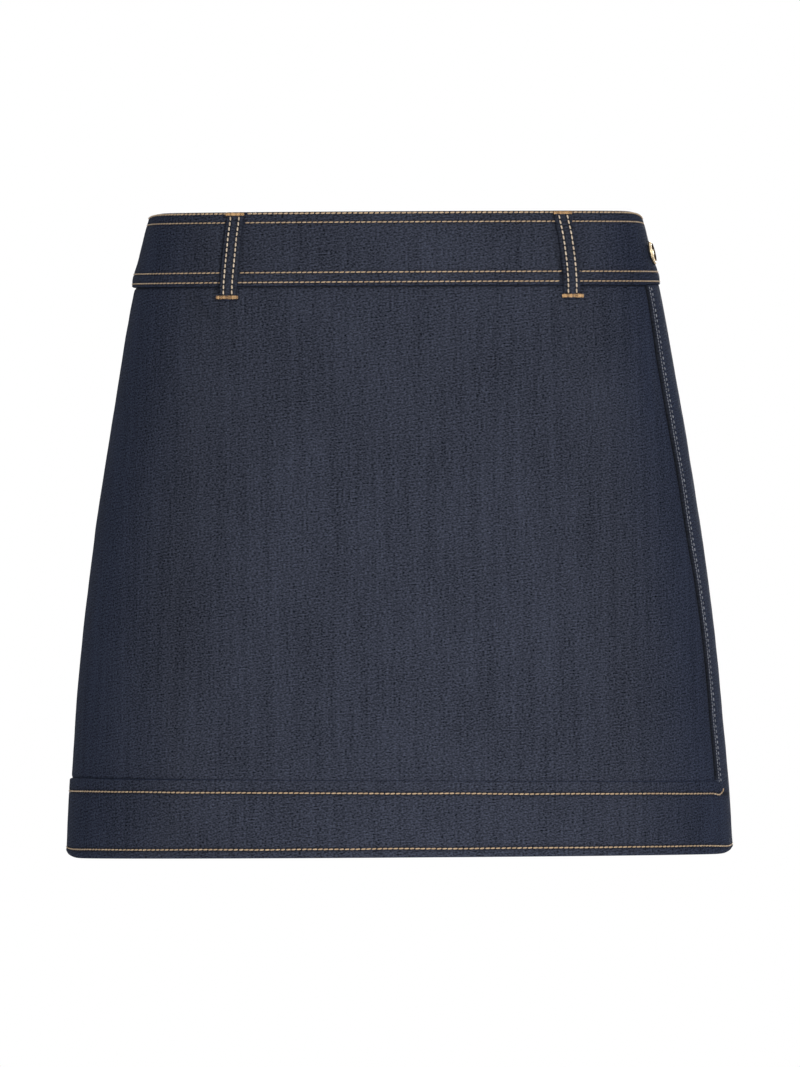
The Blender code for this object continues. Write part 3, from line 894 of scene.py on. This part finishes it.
class Sewing:
    """Stitches of one thread, gathered into one mesh."""

    def __init__(self, seed):
        self.stitches = []
        self.draw = random.Random(seed)
        self.run = 0.0

    def stitch(self, middle, direction, facing, length, wide, high):
        """One visible length of thread, lying along direction on a face."""
        direction = Vector(direction).normalized()
        side = Vector(facing).cross(direction).normalized()
        facing = direction.cross(side)
        self.stitches.append(Stitch(
            Vector(middle), direction * length / 2, side * wide / 2, facing * high / 2,
            self.run, self.draw.random(),
        ))
        self.run += length

    def row(self, along, drop, out, pitch, wide, share=0.90, covered=None):
        """Stitches one after another on the cloth, except where something covers them."""
        points, facing = on_face(along, drop, out)
        steps = np.linalg.norm(np.diff(points, axis=0), axis=1)
        run = np.concatenate(([0.0], np.cumsum(steps)))
        count = max(1, round(run[-1] / pitch))
        pitch = run[-1] / count

        def at(values, distance):
            return np.array([np.interp(distance, run, column) for column in values.T])

        for number in range(count):
            middle = (number + 0.5 + self.draw.uniform(-0.03, 0.03)) * pitch
            if covered is not None and covered(np.interp(middle, run, along)):
                continue
            length = pitch * share * self.draw.uniform(0.94, 1.04)
            direction = at(points, middle + length / 2) - at(points, middle - length / 2)
            outward = at(facing, middle)
            lean = Matrix.Rotation(math.radians(self.draw.uniform(3.0, 7.0)), 3, Vector(outward))
            self.stitch(
                at(points, middle) + outward * wide * 0.12, lean @ Vector(direction), outward,
                length, wide, wide * 0.8,
            )

    def tack(self, middle, across, facing, size):
        """A bar of close wraps of thread."""
        across = Vector(across).normalized()
        up = Vector(facing).cross(across).normalized()
        for number in range(size.wraps):
            by = (number + 0.5) / size.wraps - 0.5
            lean = across * self.draw.uniform(-0.10, 0.10)
            place = Vector(middle) + across * (by * size.length)
            place += up * self.draw.uniform(-1, 1) * 0.00008
            self.stitch(
                place, up + lean, facing, size.high * self.draw.uniform(0.9, 1.08),
                size.length / size.wraps * 1.35, 0.0011,
            )

    def finish(self, name, material):
        """One blunt-ended stitch, doubled until there are enough, and each laid in its place."""
        mesh = bmesh.new()
        bmesh.ops.create_uvsphere(mesh, u_segments=6, v_segments=5, radius=1.0)
        shape = [corner.co.copy() for corner in mesh.verts]
        spot = mesh.verts.layers.int.new("spot")
        number = mesh.verts.layers.int.new("number")
        for place, corner in enumerate(mesh.verts):
            corner[spot] = place
        made = 1
        while made < len(self.stitches):
            copies = bmesh.ops.duplicate(mesh, geom=[*mesh.verts, *mesh.edges, *mesh.faces])
            for part in copies["geom"]:
                if isinstance(part, bmesh.types.BMVert):
                    part[number] += made
            made *= 2
        spare = [corner for corner in mesh.verts if corner[number] >= len(self.stitches)]
        bmesh.ops.delete(mesh, geom=spare, context="VERTS")
        thread = mesh.verts.layers.float_vector.new("thread")
        for corner in mesh.verts:
            laid = self.stitches[corner[number]]
            co = shape[corner[spot]]
            by = math.copysign(abs(co.z) ** 0.7, co.z)
            corner.co = laid.middle + laid.lengthwise * by + laid.side * co.x + laid.facing * co.y
            round_it = math.atan2(co.y, co.x) / (2 * math.pi)
            corner[thread] = (laid.run + laid.lengthwise.length * by, round_it, laid.shade)
        for layer in (spot, number):
            mesh.verts.layers.int.remove(layer)
        return add_object(name, mesh, material)


def under_loop(drop, front, along):
    """True where a belt loop covers a place on the waistband."""
    return any(
        loop.front == front and abs(along - loop_middle(loop, drop)[0]) < LOOP_WIDTH / 2
        for loop in LOOPS
    )


def sew_waistband(thread):
    sewing = Sewing(11)
    for row in WAISTBAND_ROWS:
        wide = EDGE_THREAD if row == WAISTBAND_ROWS[0] else WAISTBAND_THREAD
        ring = ring_at(row)
        for front, start, end in (
            (True, LAP_EDGE + ROW_START, ring.front), (False, -ring.back, LAP_EDGE - ROW_HIDDEN),
        ):
            along = np.linspace(start, end, 400)
            out = waistband_faces(along, row, tucked=not front)[0]
            sewing.row(along, row, out, STITCH, wide, covered=partial(under_loop, row, front))
    return sewing.finish("waistband_stitching", thread)


def sew_hem(thread):
    """The front's rows, the upper one with a hook up at the border's corner, and the back's."""
    sewing = Sewing(12)
    turn = np.linspace(0, math.pi / 2, 9)
    after_hook = HOOK_ALONG + HOOK_LONG
    straight = np.linspace(after_hook + 0.001, ring_at(HEM_ROWS[0]).front, 400)
    along = np.concatenate([HOOK_ALONG + HOOK_LONG * (1 - np.cos(turn)), straight])
    sag = 0.0007 * near(along - after_hook, 0.004)
    drop = sag + np.concatenate([
        hem_row(0, straight[0]) - HOOK_HIGH * (1 - np.sin(turn)), hem_row(0, straight),
    ])
    sewing.row(along, drop, border_faces(along, drop)[0], STITCH, HEM_THREAD)
    along = np.linspace(LAP_EDGE + ROW_START, ring_at(HEM_ROWS[1]).front, 400)
    drop = hem_row(1, along)
    sewing.row(along, drop, border_faces(along, drop)[0], STITCH, HEM_THREAD)
    front = sewing.finish("hem_stitching", thread)
    sewing = Sewing(13)
    for number, level in enumerate(HEM_ROWS):
        along = np.linspace(-ring_at(level).back, LAP_EDGE - ROW_HIDDEN, 400)
        drop = hem_row(number, along)
        sewing.row(along, drop, back_hem_faces(along, drop)[0], STITCH, HEM_THREAD)
    return front, sewing.finish("back_hem_stitching", thread)


def sew_border(thread):
    """A fine row beside the border's seam and one of long, wide-spaced stitches next to it."""
    sewing = Sewing(14)
    drop = np.linspace(WAISTBAND_HEIGHT + 0.001, HEM_SEAM + 0.001, 200)
    for row, pitch, wide, share in zip(
        BORDER_ROWS, (TONAL_STITCH, STITCH), (FINE_TONAL_THREAD, LONG_TONAL_THREAD), (0.85, 0.58),
    ):
        along = lap_at(row, drop)
        sewing.row(along, drop, border_faces(along, drop)[0], pitch, wide, share)
    return sewing.finish("border_stitching", thread)


def sew_loops(thread, tack_thread):
    sewing = Sewing(15)
    tacks = Sewing(16)
    drop = np.linspace(0.0022, 0.0492, 80)
    for loop in LOOPS:
        for across in (-LOOP_ROW_APART / 2, LOOP_ROW_APART / 2):
            along = loop_middle(loop, drop) + across
            out = loop_faces(across, along, drop)[0]
            sewing.row(along, drop, out, STITCH, LOOP_THREAD, share=0.80)
        for size in TACKS:
            ends = loop_middle(loop, size.drop) + np.array([-1, 0, 1]) * 0.002
            out = loop_faces(0.0, ends, size.drop)[0] + 0.0001
            points, facing = on_face(ends, size.drop, out)
            tacks.tack(points[1], points[2] - points[0], facing[1], size)
    return (
        sewing.finish("belt_loop_stitching", thread),
        tacks.finish("belt_loop_tacks", tack_thread),
    )


def sew_buttonhole(thread):
    """Close wraps round the buttonhole's edge, which the button's shank spreads."""
    sewing = Sewing(17)
    middle = (BUTTONHOLE_START + BUTTONHOLE_END) / 2
    half_long = (BUTTONHOLE_END - BUTTONHOLE_START) / 2 + 0.0003
    half_high = BUTTONHOLE_HALF_HEIGHT + 0.0004
    for turn in np.linspace(0, 2 * math.pi, 97)[:-1]:
        along = middle + half_long * math.copysign(abs(math.cos(turn)) ** 0.5, math.cos(turn))
        high = half_high + shank_spread(along)
        drop = BUTTON_DROP + high * math.copysign(abs(math.sin(turn)) ** 0.5, math.sin(turn))
        away = Vector(((along - middle) * 0.12, drop - BUTTON_DROP)).normalized() * 0.0007
        out = waistband_faces(np.array([along]), np.array([drop]), tucked=False)[0]
        points, facing = on_face(
            np.array([along - away.x, along + away.x]),
            np.array([drop - away.y, drop + away.y]), out[0] + 0.0001,
        )
        sewing.stitch(
            points.mean(axis=0), points[1] - points[0], facing[0], 0.0019, 0.00055, 0.0005,
        )
    return sewing.finish("buttonhole_stitching", thread)


# --- The button ---

RimPoint = namedtuple("RimPoint", "radius height")
BUTTON_STEPS = 64
METAL_GAP = 0.0005

# The cap's outline: out under it from the shank, up round its rim, and in to the knob
CAP_OUTLINE = (
    RimPoint(SHANK_RADIUS, -0.0010),
    RimPoint(SHANK_RADIUS, METAL_GAP),
    RimPoint(0.0062, METAL_GAP),
    RimPoint(0.0070, 0.0007),
    RimPoint(0.0073, 0.0013),
    RimPoint(0.0071, 0.0019),
    RimPoint(0.0066, 0.0022),
    RimPoint(0.0060, 0.0023),
    RimPoint(0.0055, 0.0020),
    RimPoint(0.0052, 0.0015),
    RimPoint(0.0046, 0.0013),
    RimPoint(0.0024, 0.0013),
    RimPoint(0.0020, 0.0016),
    RimPoint(0.0013, 0.0020),
    RimPoint(0.0005, 0.0021),
    RimPoint(0.0, 0.0021),
)
RECESS_RADIUS = 0.0059
KNOB_RADIUS = 0.0021
RIVET_RADIUS = 0.0045
RIVET_THICK = 0.0008


def button_seat():
    """The button's place: its origin on the waistband's outer face, and +Z straight out of it."""
    step = 0.001
    points, _ = on_face(
        np.array([BUTTON_ALONG, BUTTON_ALONG + step, BUTTON_ALONG]),
        np.array([BUTTON_DROP, BUTTON_DROP, BUTTON_DROP + step]), np.full(3, WAISTBAND_OUT),
    )
    centre, across, down = (Vector(point) for point in points)
    outward = (across - centre).cross(down - centre).normalized()
    if outward.x < 0:
        outward.negate()
    turned = Vector((0, 0, 1)).rotation_difference(outward)
    return Matrix.Translation(centre) @ turned.to_matrix().to_4x4(), outward


def add_button(metal, recess):
    """Cap, shank and rivet, spun from one outline."""
    seat, outward = button_seat()
    cloth_deep = (2 * WAISTBAND_THICK + 0.0003) * math.hypot(outward.x, outward.y)
    top = -cloth_deep - METAL_GAP
    outline = [
        RimPoint(0.0, top - RIVET_THICK),
        RimPoint(RIVET_RADIUS - 0.0004, top - RIVET_THICK),
        RimPoint(RIVET_RADIUS, top - RIVET_THICK + 0.0003),
        RimPoint(RIVET_RADIUS, top),
        RimPoint(SHANK_RADIUS, top),
        *CAP_OUTLINE,
    ]
    mesh = bmesh.new()
    profile = [mesh.verts.new((point.radius, 0.0, point.height)) for point in outline]
    edges = [mesh.edges.new(pair) for pair in zip(profile, profile[1:])]
    bmesh.ops.spin(
        mesh, geom=profile + edges, axis=(0, 0, 1), cent=(0, 0, 0),
        angle=2 * math.pi, steps=BUTTON_STEPS, use_merge=True,
    )
    bmesh.ops.remove_doubles(mesh, verts=mesh.verts, dist=0.00001)
    bmesh.ops.recalc_face_normals(mesh, faces=mesh.faces)
    for face in mesh.faces:
        middle = face.calc_center_median()
        on_top = middle.z > METAL_GAP + 0.0001
        face.material_index = int(
            on_top and KNOB_RADIUS < math.hypot(middle.x, middle.y) < RECESS_RADIUS
        )
    bmesh.ops.transform(mesh, matrix=seat, verts=mesh.verts)
    piece = add_object("button_metal", mesh, metal, recess)
    piece.data.set_sharp_from_angle(angle=math.radians(50))
    return piece


# --- Finishes ---


class Nodes:
    """A node tree that is built up from its parts."""

    def __init__(self, tree):
        self.tree = tree

    def add(self, kind, settings=None, **inputs):
        made = self.tree.nodes.new(kind)
        for name, value in (settings or {}).items():
            setattr(made, name, value)
        for name, value in inputs.items():
            self.put(made, name.replace("_", " "), value)
        return made

    def put(self, made, name, value):
        socket = made.inputs[name]
        if isinstance(value, bpy.types.NodeSocket):
            self.tree.links.new(value, socket)
        else:
            socket.default_value = value

    def maths(self, operation, *values):
        made = self.add("ShaderNodeMath", {"operation": operation})
        for number, value in enumerate(values):
            self.put(made, number, value)
        return made.outputs[0]

    def ramp(self, value, low, high, to_low=0.0, to_high=1.0):
        return self.add(
            "ShaderNodeMapRange", Value=value, From_Min=low, From_Max=high, To_Min=to_low,
            To_Max=to_high,
        ).outputs[0]

    def mix(self, share, first, second):
        made = self.add("ShaderNodeMix", {"data_type": "RGBA"})
        for number, value in ((0, share), (6, first), (7, second)):
            self.put(made, number, value)
        return made.outputs[2]

    def noise(self, place, scale, detail=2.0, roughness=0.5):
        """Noise on a place that is stretched by a scale for each axis."""
        spread = self.add("ShaderNodeMapping", Vector=place, Scale=scale)
        return self.add(
            "ShaderNodeTexNoise", Vector=spread.outputs[0], Scale=1.0, Detail=detail,
            Roughness=roughness,
        ).outputs["Fac"]

    def attribute(self, name):
        return self.add("ShaderNodeAttribute", {"attribute_name": name}).outputs

    def place(self, group, **inputs):
        """A node group in this tree, and its outputs."""
        return self.add("ShaderNodeGroup", {"node_tree": group}, **inputs).outputs

    def bump(self, shader, height, strength, distance):
        made = self.add("ShaderNodeBump", Height=height, Strength=strength, Distance=distance)
        self.put(shader, "Normal", made.outputs[0])


def new_group(name, inputs, outputs):
    """A shader node group: its tree, its inputs and its output node."""
    group = bpy.data.node_groups.new(name, "ShaderNodeTree")
    for in_out, sockets in (("INPUT", inputs), ("OUTPUT", outputs)):
        for label, kind in sockets.items():
            group.interface.new_socket(
                name=label, in_out=in_out, socket_type=f"NodeSocket{kind}",
            )
    nodes = Nodes(group)
    return nodes, nodes.add("NodeGroupInput").outputs, nodes.add("NodeGroupOutput")


TWILL_TURN = math.radians(81)
TWILL_PITCH = 0.0020
PLY_PITCH = 0.0011
# How far apart a wave texture's bands are at a scale of 1
WAVE_PERIOD = math.pi / 10


def twill_group():
    """Denim's face: slanting ridges of twill, uneven yarns up and down it, and flecks of weft."""
    nodes, given, result = new_group(
        "denim twill",
        {"Place": "Vector", "Warp": "Color", "Weft": "Color", "Unevenness": "Float"},
        {"Colour": "Color", "Height": "Float"},
    )
    place = given["Place"]
    turned = nodes.add("ShaderNodeMapping", Vector=place, Rotation=(0, 0, TWILL_TURN))
    ridges = nodes.add(
        "ShaderNodeTexWave", Vector=turned.outputs[0], Scale=WAVE_PERIOD / TWILL_PITCH,
        Distortion=4.0, Detail=2.0, Detail_Scale=2.0,
    ).outputs["Fac"]
    grain = nodes.noise(place, (720, 1150, 1))
    yarn = nodes.noise(place, (700, 60, 1))
    slub = nodes.noise(place, (200, 9, 1))
    cloud = nodes.noise(place, (18, 15, 1))
    total = nodes.maths("MULTIPLY_ADD", nodes.maths("SUBTRACT", ridges, 0.5), 0.30, 1.0)
    for part, weight in ((grain, 3.9), (yarn, 0.55), (slub, 0.6), (cloud, 0.5)):
        swing = nodes.maths("MULTIPLY", nodes.maths("SUBTRACT", part, 0.5), weight)
        total = nodes.maths("MULTIPLY_ADD", swing, given["Unevenness"], total)
    total = nodes.maths("MAXIMUM", total, 0.12)
    shaded = nodes.add("ShaderNodeVectorMath", {"operation": "SCALE"}, Scale=total)
    nodes.put(shaded, 0, given["Warp"])
    flecks = nodes.noise(place, (1100, 1300, 1), detail=1.0)
    flecked = nodes.ramp(flecks, 0.60, 0.80, 0.0, 0.5)
    nodes.put(result, "Colour", nodes.mix(flecked, shaded.outputs[0], given["Weft"]))
    height = nodes.maths("MULTIPLY_ADD", ridges, 0.5, nodes.maths("MULTIPLY", grain, 0.9))
    nodes.put(result, "Height", nodes.maths("MULTIPLY_ADD", yarn, 0.3, height))
    return nodes.tree


def thread_group():
    """Twisted thread: slanting plies with painted highlight on their ridges and painted shade between
    them, and a tone of its own for each stitch.
    """
    nodes, given, result = new_group(
        "twisted thread",
        {"Thread": "Vector", "Light": "Color", "Dark": "Color"},
        {"Colour": "Color", "Height": "Float"},
    )
    split = nodes.add("ShaderNodeSeparateXYZ", Vector=given["Thread"]).outputs
    round_it = nodes.maths("MULTIPLY", split["Y"], 2)
    turns = nodes.maths("MULTIPLY_ADD", split["X"], 1 / PLY_PITCH, round_it)
    wave = nodes.maths("SINE", nodes.maths("MULTIPLY", turns, 2 * math.pi))
    plies = nodes.maths("MULTIPLY_ADD", wave, 0.5, 0.5)
    # Each stitch's random tone, with painted highlight and shade that follow the plies' ridges and
    # grooves
    shade = nodes.maths("MULTIPLY_ADD", split["Z"], 0.55, nodes.maths("MULTIPLY", plies, 0.45))
    nodes.put(result, "Colour", nodes.mix(shade, given["Dark"], given["Light"]))
    nodes.put(result, "Height", plies)
    return nodes.tree


def new_material(name, **shader_values):
    material = bpy.data.materials.new(name)
    material.use_nodes = True
    nodes = Nodes(material.node_tree)
    shader = material.node_tree.nodes["Principled BSDF"]
    for label, value in shader_values.items():
        nodes.put(shader, label.replace("_", " "), value)
    return material, nodes, shader


def denim_finish(twill):
    """Raw denim with painted sheen, greyer facing the view and a little bluer turned away, and
    painted shade in seams and beside stitches.
    """
    material, nodes, shader = new_material(
        "raw denim", Roughness=0.9, Sheen_Weight=0.02, Sheen_Roughness=0.5,
        Sheen_Tint=(0.55, 0.62, 0.80, 1), Specular_IOR_Level=0.04,
    )
    facing = nodes.add("ShaderNodeLayerWeight", Blend=0.5).outputs["Facing"]
    # Painted sheen: the warp is greyer where the cloth faces the view and bluer where it turns away
    warp_with_painted_sheen = nodes.mix(
        nodes.ramp(facing, 0.15, 0.62), (0.0362, 0.0412, 0.0600, 1), (0.0308, 0.0400, 0.0728, 1),
    )
    face = nodes.place(
        twill, Place=nodes.attribute("cloth")["Vector"], Warp=warp_with_painted_sheen,
        Weft=(0.108, 0.120, 0.158, 1), Unevenness=1.0,
    )
    # Painted shade: the cloth darkens to near-black in seams, beside stitch rows, by belt loops and
    # in the sharpest crease
    painted_shade = nodes.maths("MULTIPLY", nodes.attribute("painted_shade")["Fac"], 0.78)
    nodes.put(shader, "Base Color", nodes.mix(painted_shade, face["Colour"], (0.009, 0.010, 0.013, 1)))
    nodes.bump(shader, face["Height"], 0.55, 0.0004)
    return material


def cotton_finish(twill):
    material, nodes, shader = new_material(
        "navy cotton", Roughness=0.88, Sheen_Weight=0.08, Specular_IOR_Level=0.2,
    )
    face = nodes.place(
        twill, Place=nodes.attribute("cloth")["Vector"], Warp=(0.020, 0.024, 0.038, 1),
        Weft=(0.028, 0.033, 0.050, 1), Unevenness=0.35,
    )
    nodes.put(shader, "Base Color", face["Colour"])
    nodes.bump(shader, face["Height"], 0.25, 0.0002)
    return material


def thread_finish(group, name, light, dark):
    material, nodes, shader = new_material(
        name, Roughness=0.55, Sheen_Weight=0.15, Specular_IOR_Level=0.35,
    )
    thread = nodes.place(
        group, Thread=nodes.attribute("thread")["Vector"], Light=(*light, 1), Dark=(*dark, 1),
    )
    nodes.put(shader, "Base Color", thread["Colour"])
    nodes.bump(shader, thread["Height"], 0.5, 0.0002)
    return material


def metal_finish(name, colour, roughness, scuffed, edge=(1, 1, 1)):
    """Brushed metal: its colour, how much darker its scuffs are, and its colour edge-on."""
    material, nodes, shader = new_material(name, Metallic=1.0, Specular_Tint=(*edge, 1))
    place = nodes.add("ShaderNodeTexCoord").outputs["Object"]
    scuffs = nodes.noise(place, (900, 900, 900), detail=4.0, roughness=0.7)
    worn = [part * scuffed for part in colour]
    nodes.put(shader, "Base Color", nodes.mix(
        nodes.ramp(scuffs, 0.35, 0.75), (*colour, 1), (*worn, 1),
    ))
    nodes.put(shader, "Roughness", nodes.ramp(scuffs, 0.3, 0.7, roughness, roughness + 0.16))
    nodes.bump(shader, scuffs, 0.15, 0.0001)
    return material


# --- Studio ---

SKIRT_MIDDLE = (0.0, 0.0, -0.17)
WORLD_LIGHT = 0.022
FLOOR_RADIUS = 3.7
FLOOR_PALE = 0.7
FLOOR_Z = -0.62
CAMERA_DISTANCE = 20.0
CAMERA_X = 0.0016
CAMERA_Z = -0.169
CAMERA_ROLL = math.radians(0.3)
FRAME_HEIGHT = 0.635
SENSOR = 36.0


def add_light(name, place, size, power, spread=180, aim=SKIRT_MIDDLE):
    lamp = bpy.data.lights.new(name, "AREA")
    lamp.shape = "RECTANGLE"
    lamp.size, lamp.size_y = size
    lamp.energy = power
    lamp.spread = math.radians(spread)
    holder = bpy.data.objects.new(name, lamp)
    bpy.context.scene.collection.objects.link(holder)
    holder.location = place
    holder.rotation_euler = (Vector(aim) - Vector(place)).to_track_quat("-Z", "Y").to_euler()
    holder.visible_camera = False


def add_studio():
    scene = bpy.context.scene
    scene.view_settings.view_transform = "Standard"
    world = bpy.data.worlds.new("studio")
    world.use_nodes = True
    scene.world = world
    nodes = Nodes(world.node_tree)
    rays = nodes.add("ShaderNodeLightPath").outputs
    glossy = nodes.maths("MULTIPLY", rays["Is Glossy Ray"], 0.6)
    seen = nodes.maths("MAXIMUM", rays["Is Camera Ray"], glossy)
    shell = world.node_tree.nodes["Background"]
    nodes.put(shell, "Color", (1, 1, 1, 1))
    nodes.put(shell, "Strength", nodes.ramp(seen, 0.0, 1.0, WORLD_LIGHT, 1.0))
    add_light("front_light", (1.0, -4.5, 1.0), (1.4, 1.4), 112)
    add_light("fill_light", (-1.5, -4.4, 1.2), (1.4, 1.4), 26)
    add_light("low_light", (0.1, -0.7, -0.5), (0.35, 0.1), 0.9, aim=(0.1, -0.1, -0.3))
    add_light("left_light", (-3.0, 4.2, 0.8), (1.2, 1.8), 3.0, 50)
    add_light("right_light", (3.0, 4.2, 0.6), (1.2, 1.8), 3.6, 50)
    add_light("back_light", (0.8, 5.4, 1.0), (1.8, 1.8), 16, 50)
    add_light("top_light", (0.0, 0.0, 3.4), (2.4, 2.4), 13)

    mesh = bmesh.new()
    bmesh.ops.create_circle(mesh, cap_ends=True, segments=96, radius=FLOOR_RADIUS)
    bmesh.ops.translate(mesh, vec=(0, 0, FLOOR_Z), verts=mesh.verts)
    floor, nodes, shader = new_material(
        "pale floor", Base_Color=(0.92, 0.92, 0.92, 1), Roughness=0.9, Emission_Color=(1, 1, 1, 1),
    )
    rays = nodes.add("ShaderNodeLightPath").outputs
    nodes.put(shader, "Emission Strength", nodes.maths("MULTIPLY", rays["Is Camera Ray"], FLOOR_PALE))
    add_object("studio_floor", mesh, floor)


def add_camera():
    data = bpy.data.cameras.new("camera")
    data.sensor_width = SENSOR
    data.lens = SENSOR * CAMERA_DISTANCE / FRAME_HEIGHT
    data.clip_end = 60
    camera = bpy.data.objects.new("camera", data)
    bpy.context.scene.collection.objects.link(camera)
    camera.location = (CAMERA_X, -CAMERA_DISTANCE, CAMERA_Z)
    camera.rotation_euler = (math.pi / 2, CAMERA_ROLL, 0)
    bpy.context.scene.camera = camera


# --- The whole skort ---


def main():
    twill = twill_group()
    twist = thread_group()
    denim = denim_finish(twill)
    cotton = cotton_finish(twill)
    gold_thread = thread_finish(twist, "topstitch thread", (0.69, 0.50, 0.315), (0.455, 0.31, 0.185))
    loop_thread = thread_finish(twist, "loop thread", (0.95, 0.79, 0.61), (0.54, 0.42, 0.29))
    tack_thread = thread_finish(twist, "tack thread", (1.0, 0.62, 0.29), (0.08, 0.03, 0.01))
    tonal_thread = thread_finish(twist, "tonal thread", (0.38, 0.40, 0.45), (0.08, 0.09, 0.12))
    gold = metal_finish("gold metal", (0.88, 0.70, 0.45), 0.20, 0.80)
    recess = metal_finish(
        "darkened recess", (0.060, 0.032, 0.015), 0.35, 0.6, edge=(0.25, 0.15, 0.075),
    )

    front, back = add_panels(denim)
    border, back_hem = add_borders(denim)
    waistband = add_waistband(denim)
    loops = add_belt_loops(denim)
    shorts = add_shorts(cotton)
    button = add_button(gold, recess)
    waistband_stitching = sew_waistband(gold_thread)
    hem_stitching, back_hem_stitching = sew_hem(gold_thread)
    border_stitching = sew_border(tonal_thread)
    loop_stitching, loop_tacks = sew_loops(loop_thread, tack_thread)
    buttonhole = sew_buttonhole(tonal_thread)

    for piece, node in (
        (front, "front_panel"), (back, "back_panel"), (border, "border_band"),
        (back_hem, "back_hem_band"), (waistband, "waistband"), (button, "button"),
    ):
        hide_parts(node)
    for piece in [*loops, *shorts]:
        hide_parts(piece.name.removesuffix("_cloth"))
    for slot, pieces in (
        ("denim", [front, back, border, back_hem, waistband, *loops]),
        ("shorts_cloth", shorts),
        ("gold_metal", [button]),
        ("topstitch_thread", [
            waistband_stitching, hem_stitching, back_hem_stitching, loop_stitching,
        ]),
        ("bartack_thread", [loop_tacks]),
        ("tonal_thread", [border_stitching, buttonhole]),
    ):
        for piece in pieces:
            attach(piece, "root")

    for piece in shorts:
        area = 0.0744 if "front" in piece.name else 0.0768


add_camera()
add_studio()
main()
